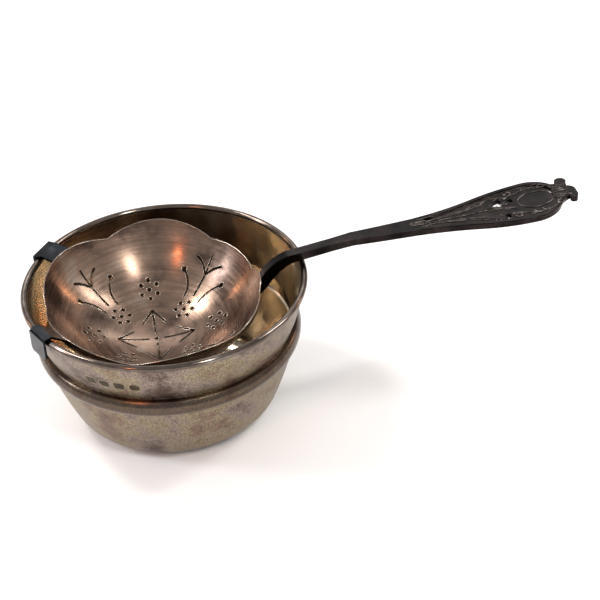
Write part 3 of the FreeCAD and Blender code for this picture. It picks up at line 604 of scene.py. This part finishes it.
layTubes("leaf_scrollwork", "strainer", smallMaterials["worn_relief_silver"],
         reliefLines(leafRelief), leafRelief["lineWidth"] * mm)
layTubes("leaf_border_bead", "strainer", smallMaterials["worn_relief_silver"],
         borderLines(leafRelief), leafRelief["fineWidth"] * mm)
layTubes("leaf_rounded_edge", "strainer",
         smallMaterials["oxidised_handle_silver"], roundedEdge(leafRelief),
         leafRelief["edgeWidth"] * mm, 3)
layTubes("leaf_veins", "strainer", smallMaterials["worn_relief_silver"],
         veinLines(leafRelief), leafRelief["fineWidth"] * mm)

# a row of blank punched shields on the collar, as silver carries, with nothing drawn in them
punches = {
    "angles": [-131.0, -124.7, -118.1, -111.5],  # round from the handle
    "height": -6.8,          # middle, from the rim wire's centre
    "halfWidth": 1.35, "halfHeight": 1.15,
    "corner": [0.45, 0.9, 0.45, 1.1],  # each punch has its own corner rounding
    "cornerSteps": 4,
    "lineWidth": 0.1,
    "fieldLift": 0.05,       # the dark field stands this far off the metal, so it shows
    "collarRadius": 32.8,
    "outside": 50.0,         # rays start this far from the axis
}
collarSurface = surfaceOf("drip_bowl_collar")


def onCollar(angle, across, up):
    turn = math.radians(angle) + across / punches["collarRadius"]
    outward = Vector((math.cos(turn), math.sin(turn), 0))
    level = Vector((0, 0, rimCentre.z + (punches["height"] + up) * mm))
    return landOn(collarSurface, level + outward * (punches["outside"] * mm), -outward)


def punchLine(angle, corner):
    wide, high = punches["halfWidth"], punches["halfHeight"]
    steps = punches["cornerSteps"]
    points = []
    for quarter, (sx, sy) in enumerate(((1, 1), (-1, 1), (-1, -1), (1, -1))):
        for step in range(steps + 1):
            a = math.radians(90 * (quarter + step / steps))
            points.append(onCollar(angle, sx * (wide - corner) + corner * math.cos(a),
                                   sy * (high - corner) + corner * math.sin(a)))
    return points


def fillPunches(outlines, lift):  # a dark field in each shield
    weld = 1e-7
    form = bmesh.new()
    for outline in outlines:
        corners = []
        for point in outline:
            outward = Vector((point.x, point.y, 0)).normalized()
            corners.append(form.verts.new(point + outward * lift))
        form.faces.new(corners)
    bmesh.ops.remove_doubles(form, verts=form.verts, dist=weld)
    bmesh.ops.triangulate(form, faces=form.faces)
    bmesh.ops.recalc_face_normals(form, faces=form.faces)
    mesh = bpy.data.meshes.new("punched_fields")
    form.to_mesh(mesh)
    form.free()
    mesh.materials.append(smallMaterials["punched_field_silver"])
    piece = bpy.data.objects.new("punched_fields", mesh)
    bpy.context.scene.collection.objects.link(piece)
    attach(piece, "drip_bowl")
    print("punched_fields filled:", len(outlines))


punchOutlines = [punchLine(a, c) for a, c in zip(punches["angles"], punches["corner"])]
fillPunches(punchOutlines, punches["fieldLift"] * mm)
layTubes("blank_punches", "drip_bowl", smallMaterials["punched_silver"],
         [(outline, True) for outline in punchOutlines], punches["lineWidth"] * mm)

# pale table and a soft studio round it
studio = {
    "floorSize": 3.0,
    "floorColour": "#fefefe",
    "floorRough": 0.9,
    "world": ("#ffffff", 0.62),
    # name: direction round from the handle, height angle, distance, size, watts, colour
    "lamps": {
        "front_softbox": (-66, 48, 0.60, (0.07, 0.18), 0.95, "#fffdfa"),
        "back_softbox": (140, 54, 0.62, (0.10, 0.14), 1.5, "#fffcf8"),
        "side_window": (172, 30, 0.60, (0.10, 0.20), 1.2, "#f2f6ff"),
        "right_window": (8, 44, 0.70, (0.06, 0.30), 1.3, "#fffdfa"),
        "back_fill": (77, 40, 0.75, (0.50, 0.12), 0.45, "#ffffff"),
        "warm_strip_right": (19, 15, 0.55, (0.02, 0.16), 0.16, "#ffc79c"),
        "warm_strip_back": (143, 15, 0.55, (0.02, 0.16), 0.16, "#ffc79c"),
        "warm_strip_front": (-130, 40, 0.60, (0.04, 0.12), 0.30, "#ff9d66"),
    },
}


def makeStudio(facts, centre):
    mesh = bpy.data.meshes.new("table_top")
    form = bmesh.new()
    bmesh.ops.create_grid(form, x_segments=1, y_segments=1, size=facts["floorSize"] / 2)
    form.to_mesh(mesh)
    form.free()
    table = bpy.data.objects.new("table_top", mesh)
    bpy.context.scene.collection.objects.link(table)
    material = newMaterial("matt_white_table")
    shader = addNode(material.node_tree, "BsdfPrincipled",
                     {"Base Color": hexColour(facts["floorColour"]), "Roughness": facts["floorRough"]})
    finishMaterial(material, shader)
    mesh.materials.append(material)
    world = bpy.data.worlds.new("studio")
    world.use_nodes = True
    background = world.node_tree.nodes["Background"]
    background.inputs["Color"].default_value = hexColour(facts["world"][0])
    background.inputs["Strength"].default_value = facts["world"][1]
    bpy.context.scene.world = world
    for name, (around, height, distance, size, watts, colour) in facts["lamps"].items():
        data = bpy.data.lights.new(name, "AREA")
        data.shape = "RECTANGLE"
        data.size, data.size_y = size
        data.energy = watts
        data.color = hexColour(colour)[:3]
        lamp = bpy.data.objects.new(name, data)
        level = math.cos(math.radians(height))
        lamp.location = centre + distance * Vector((level * math.cos(math.radians(around)),
                                                    level * math.sin(math.radians(around)),
                                                    math.sin(math.radians(height))))
        lamp.rotation_euler = (centre - lamp.location).to_track_quat("-Z", "Y").to_euler()
        bpy.context.scene.collection.objects.link(lamp)


# where the viewer stands
viewpoint = {
    "aim": (0.03042, -0.01620, 0.0),  # from the rim's centre
    "distance": 0.400,
    "azimuth": -10.0,
    "elevation": 35.64,
    "roll": -3.35,
    "lens": 100.6,
    "sensor": 36.0,
}


def placeCamera(facts, centre):
    turn = math.radians(facts["azimuth"])
    lift = math.radians(facts["elevation"])
    roll = math.radians(facts["roll"])
    back = Vector((math.sin(turn) * math.cos(lift), -math.cos(turn) * math.cos(lift),
                   math.sin(lift)))
    level = Vector((math.cos(turn), math.sin(turn), 0))
    upright = back.cross(level)
    right = level * math.cos(roll) + upright * math.sin(roll)
    up = upright * math.cos(roll) - level * math.sin(roll)
    data = bpy.data.cameras.new("camera")
    data.lens = facts["lens"]
    data.sensor_width = facts["sensor"]
    camera = bpy.data.objects.new("camera", data)
    axes = Matrix((right, up, back)).transposed().to_4x4()
    spot = centre + Vector(facts["aim"]) + back * facts["distance"]
    camera.matrix_world = Matrix.Translation(spot) @ axes
    bpy.context.scene.collection.objects.link(camera)
    bpy.context.scene.camera = camera


makeStudio(studio, rimCentre)
placeCamera(viewpoint, rimCentre)
bpy.context.scene.view_settings.view_transform = "Standard"
print("studio and camera set")

bpy.context.view_layer.update()
